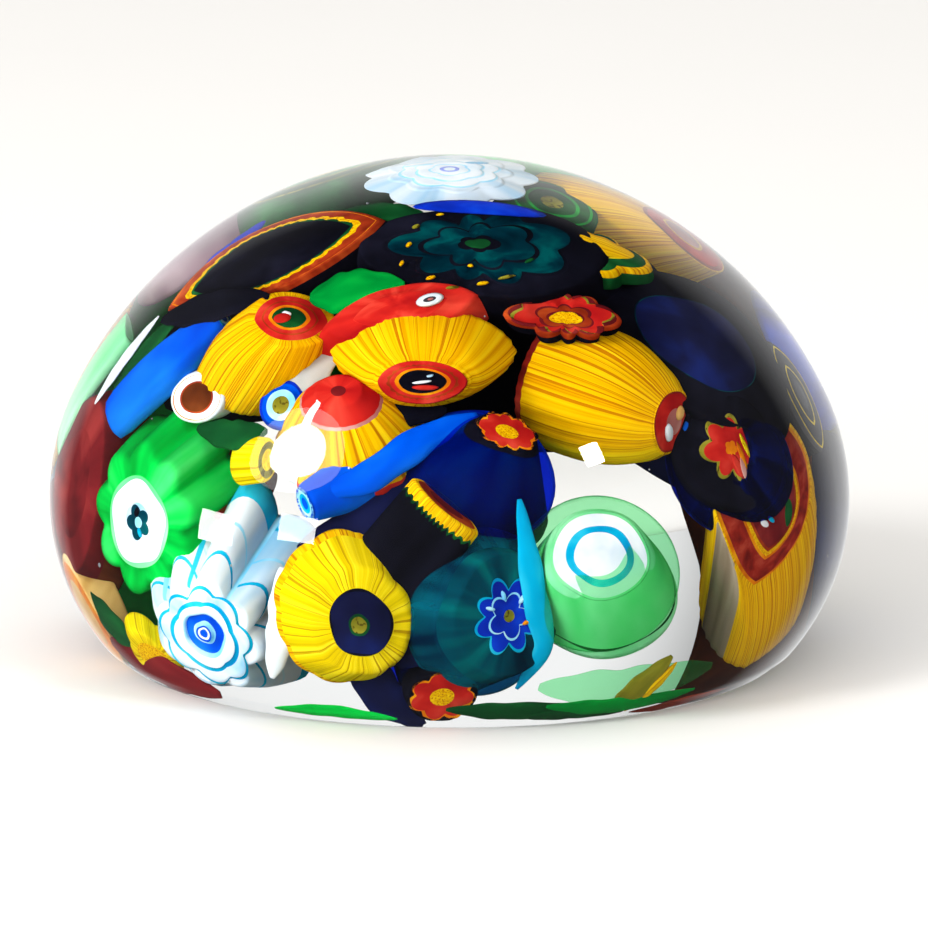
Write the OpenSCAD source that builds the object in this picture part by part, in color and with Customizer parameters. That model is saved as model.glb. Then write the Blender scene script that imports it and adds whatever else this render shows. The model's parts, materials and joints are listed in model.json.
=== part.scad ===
// Solid glass dome paperweight: coloured cane slices set in clear glass.
// Millimetres, +Z up, the flat base on z = 0, the middle of the base at the origin, the front at -Y.

/* [Dome] */
// Widest diameter of the dome
dome_d = 80; // [80:0.5:86]
// Height from the base to the crown
dome_h = 49; // [49:0.5:52]
// Height of the widest point above the base
belly_z = 15; // [14.5:0.5:16]
// Radius of the round shoulder above the widest point
shoulder_r = 24; // [23.5:0.5:25]
// Radius of the tuck under the widest point
flank_r = 22; // [21.5:0.5:22.5]
// Width of the ground edge round the base
base_bevel = 0.6; // [0.4:0.1:1]

/* [Canes] */
// Size of the cane slices across, as a share of their full size
cane_size = 1; // [0.95:0.01:1]
// Depth of the moulded ring in the face of a cane
ring_depth = 0.4; // [0.2:0.1:0.6]
// Outer edge of the moulded ring, as a share of the face
ring_outer = 0.82; // [0.76:0.02:0.86]
// Inner edge of the moulded ring, as a share of the face
ring_inner = 0.6; // [0.5:0.02:0.7]
// Share of a petal's spread that stands clear of the blossom's middle
petal_share = 0.34; // [0.3:0.02:0.38]

/* [Hidden] */
dome_r = dome_d / 2;
// Height of the point that bearings and climbs are measured from
hub_z = 14;
// A ruffled slice's upper blossom: how far it stands up, and its share of the width
tier_drop = 1.2;
tier_share = 0.72;

CLEAR = [0.86, 0.93, 0.95, 0.25];
WHITE = [0.93, 0.95, 0.96];
BLACK = [0.07, 0.07, 0.09];
NAVY = [0.07, 0.09, 0.28];
COBALT = [0.05, 0.17, 0.72];
AZURE = [0.05, 0.42, 0.93];
TURQUOISE = [0.1, 0.7, 0.85];
TEAL = [0.02, 0.32, 0.38];
MINT = [0.6, 0.92, 0.7];
EMERALD = [0.06, 0.78, 0.3];
FOREST = [0.03, 0.3, 0.13];
OLIVE = [0.52, 0.5, 0.12];
YELLOW = [0.95, 0.78, 0.05];
AMBER = [0.92, 0.55, 0.06];
RED = [0.8, 0.13, 0.08];
WINE = [0.36, 0.08, 0.08];
BROWN = [0.3, 0.15, 0.06];
MAUVE = [0.55, 0.36, 0.42];

// The three arcs of the dome's side view: crown, shoulder and flank meet smoothly
shoulder = [dome_r - shoulder_r, belly_z];
flank = [dome_r - flank_r, belly_z];
rise = dome_h - belly_z;
crown_r = (shoulder.x * shoulder.x + rise * rise - shoulder_r * shoulder_r) / (2 * (rise - shoulder_r));
crown = [0, dome_h - crown_r];
fall = (shoulder - crown) / norm(shoulder - crown);
joint = shoulder + fall * shoulder_r;
// Radius of the base before its edge is ground
foot_x = flank.x + sqrt(flank_r * flank_r - flank.y * flank.y);

// Distance from the hub to the dome's skin at a climb angle
function chord(c, r, el) =
  let (u = [cos(el), sin(el)], w = [c.x, c.y - hub_z], p = u * w) p + sqrt(r * r - w * w + p * p);
function reach(el) =
  el > atan2(joint.y - hub_z, joint.x) ? chord(crown, crown_r, el) :
  el > atan2(belly_z - hub_z, dome_r) ? chord(shoulder, shoulder_r, el) : chord(flank, flank_r, el);

// Solid dome: the side view turned about the axis. Each smaller disc lies inside the next one
// and touches it from within, so the three skins run into each other without a step.
module dome() {
  far = 2 * dome_r;
  rotate_extrude() union() {
    intersection() {
      translate(crown) circle(crown_r);
      polygon([[0, 0], [0, far], crown + far * fall, crown + (crown_r - 1) * fall, [shoulder.x, 0]]);
    }
    intersection() {
      translate(shoulder) circle(shoulder_r);
      translate([0, belly_z]) square(far);
    }
    intersection() {
      translate(flank) circle(flank_r);
      square(far);
    }
    square([flank.x, belly_z + 1]);
  }
}

// Clear glass: one fused body, with a sealed pocket round every cane that is set in it
module clear_dome() color(CLEAR) difference() {
  dome();
  // the ground edge round the base
  rotate_extrude() polygon([
    [foot_x - base_bevel, -1], [foot_x - base_bevel, 0],
    [foot_x + 2 * base_bevel, 2 * base_bevel], [foot_x + 4 * base_bevel, -1]
  ]);
  every_form();
}

// Puts a cane's face at a bearing and climb from the hub, sunk below the skin,
// and turns it to look along its own bearing and climb
module seat(at, look, twist)
  rotate([0, 0, at.x]) translate([0, 0, hub_z]) rotate([-at.y, 0, 0])
    translate([0, at.z - reach(at.y), 0]) rotate([at.y, 0, 0])
      rotate([90 - look.y, 0, look.x - at.x]) rotate([0, 0, twist]) children();

// Cane slice, face at z = 0 and body below it: face radius, back radius, length, squash
module cane(face_r, back_r, len, squash = 1) {
  fr = face_r * cane_size; br = back_r * cane_size;
  difference() {
    pressed(fr, br, len, squash);
    translate([0, 0, -ring_depth]) difference() {
      pressed_disc(fr * ring_outer, 2 * ring_depth, squash);
      pressed_disc(fr * ring_inner, 2 * ring_depth, squash);
    }
  }
}
// Two equal circles set apart by twice the gap share a pressed outline: r long, squash * r wide
function press_gap(r, squash) = r * (1 - squash * squash) / (2 * squash);
function press_r(r, squash) = r * (1 + squash * squash) / (2 * squash);
// Pressed cone and pressed disc, each the overlap of two offset round ones
module pressed(fr, br, len, squash) {
  gap = press_gap(fr, squash);
  module half(side) translate([0, side * gap, -len])
    cylinder(h = len, r1 = sqrt(br * br + gap * gap), r2 = press_r(fr, squash));
  if (squash < 1) intersection() { half(1); half(-1); }
  else half(0);
}
module pressed_disc(r, h, squash) {
  module half(side) translate([0, side * press_gap(r, squash), 0]) cylinder(h = h, r = press_r(r, squash));
  if (squash < 1) intersection() { half(1); half(-1); }
  else half(0);
}

// Scalloped slice: petals stand out all round a plain middle
module blossom(r, len, petals) {
  petal_r = r * cane_size * petal_share;
  middle_r = r * cane_size - petal_r;
  translate([0, 0, -len]) linear_extrude(len) union() {
    circle(middle_r);
    for (i = [0 : petals - 1]) rotate([0, 0, i * 360 / petals]) translate([middle_r, 0]) circle(petal_r);
  }
}
// Ruffled slice: a smaller blossom stands above a wide one
module rose(r, len, petals) union() {
  translate([0, 0, -tier_drop]) blossom(r, len - tier_drop, petals);
  rotate([0, 0, 180 / petals]) blossom(r * tier_share, len, petals);
}

// Canes on the front of the dome: where each one sits, which way its face looks, its twist, its form
module top_rose_form() seat([-10, 84, 2.6], [0, 87], 0) rose(8.2, 3.2, 9);
module teal_crown_form() seat([11.5, 58.5, 3.2], [-5, 61], 5) cane(7.8, 7.9, 4.7, 0.62);
module dark_eye_form() seat([-58, 53.5, 3.4], [-52, 54], 50) cane(10.5, 9.5, 7, 0.5);
module gold_eye_form() seat([-40, 39.5, 5.4], [38, 45], -30) cane(4.9, 4.9, 10, 0.72);
module cobalt_petal_form() seat([-68, 35, 5.4], [76, 45], 90) cane(2.2, 2.9, 11.8);
module mint_limb_form() seat([-87.5, 22, 5], [-60, -27], 40) cane(5.4, 5.4, 8.9, 0.7);
module red_bolster_form() seat([-2, 46.5, 10.4], [62, 32], -45) cane(3.2, 4.3, 11.8, 0.8);
module gold_bell_form() seat([-7, 33, 3.4], [-1, -4], 0) cane(4.6, 8.3, 7.5, 0.6);
module ember_rose_form() seat([24.5, 43.5, 2.6], [6, 56], 0) cane(4.9, 4.5, 2.5, 0.5);
module amber_shell_form() seat([42.5, 25, 4], [62, -6], 55) cane(4, 6.2, 13.9, 0.85);
module midnight_form() seat([63.5, 36, 5.2], [39, 58], -50) cane(8.8, 7.8, 5.4, 0.8);
module gold_ridge_form() seat([102.5, 46.5, 5.2], [80, 4], -60) cane(5.2, 7, 9, 0.8);
module leaf_star_form() seat([50.5, 56, 3.6], [9, 82], -5) cane(4.4, 4, 3.5, 0.5);
module smoke_loop_form() seat([80.5, 19, 4.4], [80, 61], 90) cane(5, 5, 7, 0.8);
module flame_button_form() seat([50.5, 13.5, 5.6], [17, 34], 0) cane(7, 6.2, 4.5, 0.82);
module chevron_form() seat([55.5, 1, 6.2], [23, 53], 50) cane(7, 7, 11, 0.75);
module jade_cup_form() seat([26.5, 4.5, 4.8], [6, 36], -20) cane(5.6, 7.4, 8, 0.88);
module poppy_night_form() seat([13.5, 25.5, 2.4], [38, 50], -30) cane(3.1, 7.8, 6.3, 0.7);
module azure_rod_form() seat([-25, 9.5, 7.2], [-68, -20], -35) cane(1.9, 2.2, 8.4);
module saffron_slice_form() seat([-21.5, 27.5, 3.4], [-56, 51], -10) cane(3.6, 5, 5.5, 0.8);
module bead_eye_form() seat([-33, 26, 10], [-28, 19], 5) cane(2.6, 2.6, 3.9);
module saw_edge_form() seat([-2.5, 17, 4.4], [77, 52], 90) cane(4.2, 4.4, 8.9, 0.8);
module gold_ring_form() seat([-14, -5.5, 4], [13, -8], 0) cane(4.9, 6.3, 5.9);
module rose_left_form() seat([-39, -10, 2.8], [-31, -22], -60) rose(6.4, 7.8, 7);
module green_blossom_form() seat([-58.5, 7, 4.8], [-36, 0], 55) blossom(6.6, 6.5, 8);
module wine_limb_form() seat([-80, 5, 2.6], [-70, 12], -80) cane(4.5, 4.5, 4.9, 0.8);
module sun_chip_form() seat([-55, -14, 3], [-20, -34], 0) cane(2.8, 2.8, 4, 0.8);
module olive_strip_form() seat([-33, 17, 5], [23, 16], 80) cane(2.4, 2.6, 5, 0.6);
module teal_lantern_form() seat([11.5, 0, 4], [46, 2], 85) cane(4.7, 5.7, 6.9, 0.9);
module poppy_base_form() seat([-1, -16.5, 4.8], [5, -30], 30) cane(3.1, 3.6, 5.4, 0.9);
module ink_flower_form() seat([10, 15.5, 10.2], [33, 13], -10) cane(2.7, 3.1, 3.9, 0.9);
module umber_eye_form() seat([-60, 21, 10], [-38, 12], 5) cane(3, 3, 4);
module ochre_low_form() seat([-71.5, -13, 2.8], [-72, -36], -70) cane(4.4, 4.4, 6, 0.7);
module moss_low_form() seat([32, -17.5, 4.4], [28, -62], 15) cane(2.6, 2.6, 5, 0.5);
module fern_back_form() seat([-46, 59.5, 13.2], [18, 52], -20) cane(4.4, 4.4, 5, 0.8);
module coal_block_form() seat([37, 61, 10.4], [30, 52], -20) cane(6, 6, 6, 0.8);
module plum_core_form() seat([-43, 19.5, 12.8], [10, 45], -15) cane(3.4, 3.4, 5, 0.8);

// Canes round the back of the dome: where each one sits, which way its face looks, its twist, its form
module rear_slate_form() seat([98.5, -6, 3.8], [100, 5], 0) cane(6, 6.5, 7, 0.9);
module rear_olive_form() seat([124, -8, 4.4], [122, 0], 0) cane(6, 6.5, 7);
module rear_umber_form() seat([149.5, -4.5, 3.6], [150, 5], 0) cane(5.5, 6, 7, 0.9);
module rear_wine_form() seat([-92, -8, 3.6], [-95, 0], 0) cane(5.5, 6, 7, 0.9);
module rear_snow_form() seat([-116.5, -7.5, 4.6], [-114, 5], 0) cane(6, 6.5, 7);
module rear_fern_form() seat([-143, -6, 3.4], [-145, 0], 0) cane(6, 6.5, 7, 0.9);
module rear_cobalt_form() seat([102.5, 19, 2.8], [104, 22], 0) cane(5.6, 6, 7, 0.85);
module rear_poppy_form() seat([128.5, 18.5, 2.6], [128, 24], 0) cane(6.2, 6.8, 7, 0.9);
module rear_leaf_form() seat([157, 21, 2.8], [156, 26], 0) cane(6.4, 7, 7, 0.9);
module rear_sun_form() seat([-108, 14.5, 2.2], [-106, 22], 0) cane(6, 6.5, 7, 0.9);
module rear_ruby_form() seat([-133, 20, 2.4], [-132, 24], 0) cane(6, 6.4, 7, 0.9);
module rear_violet_form() seat([-160, 20, 2.8], [-160, 26], 0) cane(6, 6.5, 7, 0.9);

// Canes on the upper back of the dome: where each one sits, which way its face looks, its twist, its form
module crown_ink_form() seat([138.5, 41.5, 2], [138, 46], 0) cane(5.4, 5.6, 6, 0.9);
module crown_fern_form() seat([172.5, 43, 2.6], [172, 46], 0) cane(6.8, 7, 6, 0.9);
module crown_ice_form() seat([-151.5, 45.5, 2.6], [-153, 48], 0) cane(5.8, 6, 6, 0.9);
module crown_mauve_form() seat([-116.5, 42, 2.8], [-118, 46], 0) cane(6, 6.4, 6, 0.9);
module cap_pine_form() seat([74.5, 66, 2], [76, 68], 0) cane(4.6, 4.6, 4, 0.8);
module cap_fern_form() seat([158, 67, 3], [158, 65], 0) cane(6, 6, 5, 0.9);
module cap_moss_form() seat([-123.5, 65.5, 2.4], [-120, 66], 0) cane(6.4, 6.4, 5, 0.9);

// Each cane in its colour
module top_rose() color(WHITE) top_rose_form();
module teal_crown() color(COBALT) teal_crown_form();
module dark_eye() color(BLACK) dark_eye_form();
module gold_eye() color(YELLOW) gold_eye_form();
module cobalt_petal() color(AZURE) cobalt_petal_form();
module mint_limb() color(MINT) mint_limb_form();
module red_bolster() color(RED) red_bolster_form();
module gold_bell() color(YELLOW) gold_bell_form();
module ember_rose() color(RED) ember_rose_form();
module amber_shell() color(AMBER) amber_shell_form();
module midnight() color(NAVY) midnight_form();
module gold_ridge() color(YELLOW) gold_ridge_form();
module leaf_star() color(FOREST) leaf_star_form();
module smoke_loop() color(BLACK) smoke_loop_form();
module flame_button() color(NAVY) flame_button_form();
module chevron() color(YELLOW) chevron_form();
module jade_cup() color(MINT) jade_cup_form();
module poppy_night() color(COBALT) poppy_night_form();
module azure_rod() color(AZURE) azure_rod_form();
module saffron_slice() color(YELLOW) saffron_slice_form();
module bead_eye() color(TURQUOISE) bead_eye_form();
module saw_edge() color(BLACK) saw_edge_form();
module gold_ring() color(YELLOW) gold_ring_form();
module rose_left() color(WHITE) rose_left_form();
module green_blossom() color(EMERALD) green_blossom_form();
module wine_limb() color(WINE) wine_limb_form();
module sun_chip() color(YELLOW) sun_chip_form();
module olive_strip() color(OLIVE) olive_strip_form();
module teal_lantern() color(TEAL) teal_lantern_form();
module poppy_base() color(BLACK) poppy_base_form();
module ink_flower() color(COBALT) ink_flower_form();
module umber_eye() color(BROWN) umber_eye_form();
module ochre_low() color(AMBER) ochre_low_form();
module moss_low() color(OLIVE) moss_low_form();
module fern_back() color(EMERALD) fern_back_form();
module coal_block() color(BLACK) coal_block_form();
module plum_core() color(WINE) plum_core_form();
module rear_slate() color(NAVY) rear_slate_form();
module rear_olive() color(OLIVE) rear_olive_form();
module rear_umber() color(BROWN) rear_umber_form();
module rear_wine() color(WINE) rear_wine_form();
module rear_snow() color(WHITE) rear_snow_form();
module rear_fern() color(EMERALD) rear_fern_form();
module rear_cobalt() color(COBALT) rear_cobalt_form();
module rear_poppy() color(BLACK) rear_poppy_form();
module rear_leaf() color(FOREST) rear_leaf_form();
module rear_sun() color(YELLOW) rear_sun_form();
module rear_ruby() color(RED) rear_ruby_form();
module rear_violet() color(NAVY) rear_violet_form();
module crown_ink() color(BLACK) crown_ink_form();
module crown_fern() color(FOREST) crown_fern_form();
module crown_ice() color(TURQUOISE) crown_ice_form();
module crown_mauve() color(MAUVE) crown_mauve_form();
module cap_pine() color(FOREST) cap_pine_form();
module cap_fern() color(EMERALD) cap_fern_form();
module cap_moss() color(FOREST) cap_moss_form();

module every_form() {
  top_rose_form(); teal_crown_form(); dark_eye_form(); gold_eye_form(); cobalt_petal_form();
  mint_limb_form(); red_bolster_form(); gold_bell_form(); ember_rose_form();
  amber_shell_form(); midnight_form(); gold_ridge_form(); leaf_star_form(); smoke_loop_form();
  flame_button_form(); chevron_form(); jade_cup_form(); poppy_night_form(); azure_rod_form();
  saffron_slice_form(); bead_eye_form(); saw_edge_form(); gold_ring_form(); rose_left_form();
  green_blossom_form(); wine_limb_form(); sun_chip_form(); olive_strip_form();
  teal_lantern_form(); poppy_base_form(); ink_flower_form(); umber_eye_form();
  ochre_low_form(); moss_low_form(); fern_back_form(); coal_block_form(); plum_core_form();
  rear_slate_form(); rear_olive_form(); rear_umber_form(); rear_wine_form(); rear_snow_form();
  rear_fern_form(); rear_cobalt_form(); rear_poppy_form(); rear_leaf_form(); rear_sun_form();
  rear_ruby_form(); rear_violet_form(); crown_ink_form(); crown_fern_form(); crown_ice_form();
  crown_mauve_form(); cap_pine_form(); cap_fern_form(); cap_moss_form();
}

clear_dome();
top_rose();
teal_crown();
dark_eye();
gold_eye();
cobalt_petal();
mint_limb();
red_bolster();
gold_bell();
ember_rose();
amber_shell();
midnight();
gold_ridge();
leaf_star();
smoke_loop();
flame_button();
chevron();
jade_cup();
poppy_night();
azure_rod();
saffron_slice();
bead_eye();
saw_edge();
gold_ring();
rose_left();
green_blossom();
wine_limb();
sun_chip();
olive_strip();
teal_lantern();
poppy_base();
ink_flower();
umber_eye();
ochre_low();
moss_low();
fern_back();
coal_block();
plum_core();
rear_slate();
rear_olive();
rear_umber();
rear_wine();
rear_snow();
rear_fern();
rear_cobalt();
rear_poppy();
rear_leaf();
rear_sun();
rear_ruby();
rear_violet();
crown_ink();
crown_fern();
crown_ice();
crown_mauve();
cap_pine();
cap_fern();
cap_moss();
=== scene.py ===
import json
import math
import random

import bpy
import numpy as np
from mathutils import Matrix, Vector


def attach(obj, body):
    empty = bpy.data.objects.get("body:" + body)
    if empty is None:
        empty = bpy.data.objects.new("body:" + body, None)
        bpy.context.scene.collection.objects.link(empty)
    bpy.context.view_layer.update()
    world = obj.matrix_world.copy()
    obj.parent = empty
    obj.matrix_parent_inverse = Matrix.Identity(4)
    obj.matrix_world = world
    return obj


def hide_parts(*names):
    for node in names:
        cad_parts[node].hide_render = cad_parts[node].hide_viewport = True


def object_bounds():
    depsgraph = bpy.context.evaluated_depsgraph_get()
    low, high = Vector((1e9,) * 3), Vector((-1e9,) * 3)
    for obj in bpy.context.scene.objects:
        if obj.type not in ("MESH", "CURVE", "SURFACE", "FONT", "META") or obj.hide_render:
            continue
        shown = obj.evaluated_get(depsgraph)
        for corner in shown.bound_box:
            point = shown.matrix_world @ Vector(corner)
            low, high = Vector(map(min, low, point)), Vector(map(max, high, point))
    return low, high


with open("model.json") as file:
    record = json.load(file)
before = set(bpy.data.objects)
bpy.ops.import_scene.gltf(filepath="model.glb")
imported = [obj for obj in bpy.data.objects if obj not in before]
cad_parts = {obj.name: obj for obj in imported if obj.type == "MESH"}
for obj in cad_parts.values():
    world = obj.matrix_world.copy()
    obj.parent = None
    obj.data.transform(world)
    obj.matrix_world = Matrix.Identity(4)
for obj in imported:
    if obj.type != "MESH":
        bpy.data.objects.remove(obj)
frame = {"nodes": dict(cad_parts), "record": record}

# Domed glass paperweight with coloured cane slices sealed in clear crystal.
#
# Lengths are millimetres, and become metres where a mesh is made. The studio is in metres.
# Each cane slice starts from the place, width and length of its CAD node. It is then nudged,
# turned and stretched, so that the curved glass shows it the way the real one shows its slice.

CAD_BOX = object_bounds()
MM = 0.001
DOME_WIDTH = (CAD_BOX[1].x - CAD_BOX[0].x) / MM
DOME_HEIGHT = CAD_BOX[1].z / MM
# Height of the widest point, radii above and below it, and the bevel at the foot
BELLY_Z, SHOULDER_R, FLANK_R, BASE_BEVEL = 15.0, 24.0, 22.0, 0.6
# Height of the point that bearings and climbs are measured from
HUB_Z = 14.0
# How far under the skin canes, casings and streaks stay, and how softly they are pressed in
CANE_DEPTH, VEIL_DEPTH, STREAK_DEPTH, SOFT = 0.8, 0.4, 0.3, 1.5
# Loops closer together than this are one loop
SAME_LOOP = 0.002
# Where a face's bands start, as a share of its radius, and the loops that each band is laid in
FACE_HOLE, FACE_STEPS = 0.02, (0.05, 0.35, 0.7, 1.0)
SLOTS = {s["node"]: s["material_slot"] for s in frame["record"]["subparts"]}


# ---------------------------------------------------------------- materials

def linear(colour):
    """Linear light from a colour as a screen shows it, 0 to 255."""
    return tuple(
        (c / 255 / 12.92) if c <= 10 else ((c / 255 + 0.055) / 1.055) ** 2.4 for c in colour)


class Nodes:
    """Short ways to add and join shader nodes."""

    def __init__(self, tree):
        self.tree = tree
        tree.nodes.clear()

    def add(self, kind, **inputs):
        node = self.tree.nodes.new(kind)
        for name, value in inputs.items():
            node.inputs[name.replace("_", " ")].default_value = value
        return node

    def join(self, source, target):
        self.tree.links.new(source, target)

    def place(self):
        return self.add("ShaderNodeTexCoord").outputs["Object"]

    def ramp(self, factor, stops):
        node = self.add("ShaderNodeValToRGB")
        elements = node.color_ramp.elements
        while len(elements) < len(stops):
            elements.new(0.5)
        for element, (at, colour) in zip(elements, stops):
            element.position = at
            element.color = (*colour, 1)
        self.join(factor, node.inputs["Fac"])
        return node.outputs["Color"]

    def noise(self, vector, stretch, detail=3.0, warp=0.0):
        mapping = self.add("ShaderNodeMapping")
        mapping.inputs["Scale"].default_value = stretch
        self.join(vector, mapping.inputs["Vector"])
        node = self.add("ShaderNodeTexNoise", Scale=1.0, Detail=detail, Roughness=0.55, Distortion=warp)
        self.join(mapping.outputs["Vector"], node.inputs["Vector"])
        return node.outputs["Fac"]

    def mix(self, factor, first, second, blend="MIX"):
        """A mix of two colours, each a socket or a colour; the factor is a socket or a number."""
        node = self.add("ShaderNodeMix")
        node.data_type = "RGBA"
        node.blend_type = blend
        for value, socket in ((factor, node.inputs[0]), (first, node.inputs[6]), (second, node.inputs[7])):
            if isinstance(value, bpy.types.NodeSocket):
                self.join(value, socket)
            elif isinstance(value, tuple):
                socket.default_value = (*value, 1)
            else:
                socket.default_value = value
        return node.outputs[2]

    def blend(self, factor, first, second):
        """The first shader where the factor is 0, the second where it is 1."""
        node = self.add("ShaderNodeMixShader")
        if isinstance(factor, float):
            node.inputs[0].default_value = factor
        else:
            self.join(factor, node.inputs[0])
        self.join(first.outputs[0], node.inputs[1])
        self.join(second.outputs[0], node.inputs[2])
        return node

    def finish(self, shader, output="ShaderNodeOutputMaterial"):
        self.join(shader.outputs[0], self.add(output).inputs["Surface"])


def start_material(name):
    """A new material and the helper that fills it."""
    material = bpy.data.materials.new(name)
    material.use_nodes = True
    return material, Nodes(material.node_tree)


def coloured_glass(name, tones, across=260, along=60, threads=None, rim=None, clear=None):
    """Fused glass: tones run in streaks along the cane, threads are thin drawn lines,
    rim is the deeper colour seen along its edges, clear how much light passes straight through."""
    material, nodes = start_material(name)
    grain = nodes.add("ShaderNodeAttribute")
    grain.attribute_name = "grain"
    flow = nodes.noise(grain.outputs["Vector"], (across, across, along), warp=0.3)
    dark, mid, light = (linear(tone) for tone in tones)
    colour = nodes.ramp(flow, [(0.33, dark), (0.5, mid), (0.68, light)])
    height = flow
    if threads:
        line, fine, share = threads
        fibre = nodes.noise(grain.outputs["Vector"], (fine, fine, along * 0.25), detail=1.5)
        mask = nodes.ramp(fibre, [(share - 0.03, (1, 1, 1)), (share + 0.03, (0, 0, 0))])
        colour = nodes.mix(mask, colour, linear(line))
        height = fibre
    if rim:
        edge = nodes.add("ShaderNodeLayerWeight", Blend=0.35)
        colour = nodes.mix(edge.outputs["Facing"], colour, linear(rim))
    bump = nodes.add("ShaderNodeBump", Strength=0.35, Distance=0.0002)
    nodes.join(height, bump.inputs["Height"])
    body = nodes.add("ShaderNodeBsdfPrincipled", Roughness=0.6)
    body.inputs["Specular IOR Level"].default_value = 0.0
    nodes.join(colour, body.inputs["Base Color"])
    nodes.join(bump.outputs["Normal"], body.inputs["Normal"])
    if clear:
        tint, share = clear
        through = nodes.add("ShaderNodeBsdfTransparent")
        through.inputs["Color"].default_value = (*linear(tint), 1)
        edge = nodes.add("ShaderNodeLayerWeight", Blend=0.4)
        solid = nodes.ramp(edge.outputs["Facing"], [(0.55, (1 - share,) * 3), (0.95, (1.0,) * 3)])
        body = nodes.blend(solid, through, body)
    nodes.finish(body)
    return material


PAINTS = {
    "white": dict(tones=((205, 222, 236), (232, 239, 244), (246, 248, 250)), across=180, along=40),
    "snow": dict(tones=((110, 186, 228), (212, 228, 240), (240, 245, 250)), across=200, along=30),
    # painted light: a pale grey that stands in for the bright floor seen through clear glass
    "painted_floor_light": dict(tones=((138, 146, 150), (176, 181, 182), (206, 208, 206)), across=150, along=40),
    "ice": dict(tones=((110, 200, 240), (160, 222, 246), (215, 240, 250))),
    "periwinkle": dict(tones=((70, 95, 215), (110, 135, 230), (170, 190, 245))),
    "azure": dict(tones=((0, 52, 180), (0, 84, 220), (25, 130, 250)), across=120, along=50),
    "cobalt": dict(tones=((8, 25, 130), (10, 50, 195), (20, 85, 235)), across=130, along=50),
    "turquoise": dict(tones=((0, 130, 190), (0, 170, 215), (60, 215, 240)), across=150, along=60),
    "teal": dict(tones=((0, 30, 48), (0, 62, 78), (0, 104, 104)), across=220, along=40),
    "deep_teal": dict(tones=((0, 20, 32), (0, 42, 54), (0, 82, 84)), across=260, along=40),
    "navy": dict(tones=((12, 14, 40), (20, 24, 62), (24, 38, 105)), across=90, along=40),
    "black": dict(tones=((8, 8, 14), (14, 14, 24), (24, 24, 38)), across=90, along=40),
    "slate": dict(tones=((40, 40, 48), (62, 64, 72), (90, 92, 98)), across=120, along=40),
    "mint": dict(tones=((84, 200, 125), (118, 222, 150), (168, 238, 190)), across=90, along=50),
    "emerald": dict(tones=((0, 150, 45), (0, 208, 72), (70, 235, 118)),
                    across=260, along=20, rim=(0, 130, 45)),
    "leaf": dict(tones=((0, 90, 35), (0, 140, 50), (20, 190, 70)), across=130, along=40),
    "forest": dict(tones=((8, 45, 22), (14, 72, 34), (30, 112, 52)), across=130, along=40),
    "olive": dict(tones=((90, 88, 20), (135, 130, 35), (175, 168, 60)), across=200, along=30,
                  threads=((80, 70, 20), 1400, 0.42)),
    "lemon": dict(tones=((212, 182, 0), (238, 210, 5), (250, 228, 40)), across=1300, along=24,
                  threads=((186, 146, 5), 3400, 0.4)),
    "gold": dict(tones=((222, 156, 0), (240, 188, 4), (250, 212, 20)), across=2400, along=18,
                 threads=((196, 120, 5), 4600, 0.42)),
    "honey": dict(tones=((200, 95, 5), (232, 130, 10), (246, 170, 20))),
    "ochre": dict(tones=((205, 150, 70), (232, 186, 110), (245, 215, 160)), across=150, along=30),
    "red": dict(tones=((156, 18, 22), (196, 36, 30), (222, 70, 54)), across=180, along=40),
    "rust": dict(tones=((112, 30, 14), (156, 50, 22), (196, 84, 34)), across=220, along=30),
    "brick": dict(tones=((104, 24, 20), (150, 38, 28), (182, 66, 48)), across=300, along=30),
    "wine": dict(tones=((70, 14, 18), (112, 26, 30), (150, 50, 48)), across=120, along=40),
    "rose": dict(tones=((150, 80, 78), (190, 120, 112), (225, 175, 165)), across=110, along=30),
    "brown": dict(tones=((62, 24, 8), (98, 44, 18), (132, 66, 30)), across=150, along=40),
    "taupe": dict(tones=((120, 100, 82), (152, 132, 112), (190, 175, 155)), across=120, along=30),
    "mauve": dict(tones=((110, 82, 96), (150, 118, 130), (190, 165, 172)), across=120, along=40),
    "cobalt_veil": dict(tones=((0, 20, 140), (0, 45, 205), (0, 90, 240)), clear=((60, 100, 225), 0.9)),
    "teal_veil": dict(tones=((0, 60, 100), (0, 120, 150), (0, 190, 225)), clear=((40, 130, 165), 0.8)),
    "green_veil": dict(tones=((30, 165, 80), (70, 205, 115), (140, 232, 165)),
                       clear=((205, 248, 218), 0.95)),
    "navy_veil": dict(tones=((10, 14, 50), (14, 30, 120), (16, 60, 210)), clear=((50, 70, 190), 0.9)),
}

MATERIALS = {name: coloured_glass(name + "_glass", **paint) for name, paint in PAINTS.items()}


def crystal():
    """Clear crystal with the faint waviness of fire-polished glass. Lamps shine in through it."""
    material, nodes = start_material("clear_crystal")
    waviness = nodes.noise(nodes.place(), (45, 45, 45), detail=1.0)
    bump = nodes.add("ShaderNodeBump", Strength=0.12, Distance=0.0002)
    nodes.join(waviness, bump.inputs["Height"])
    glass = nodes.add("ShaderNodeBsdfPrincipled", Roughness=0.0, IOR=1.5)
    glass.inputs["Transmission Weight"].default_value = 1.0
    glass.inputs["Base Color"].default_value = (0.985, 0.997, 0.992, 1)
    nodes.join(bump.outputs["Normal"], glass.inputs["Normal"])
    lamp_way = nodes.add("ShaderNodeBsdfTransparent")
    lamp_way.inputs["Color"].default_value = (0.95, 0.96, 0.96, 1)
    path = nodes.add("ShaderNodeLightPath")
    nodes.finish(nodes.blend(path.outputs["Is Shadow Ray"], glass, lamp_way))
    return material


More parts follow.
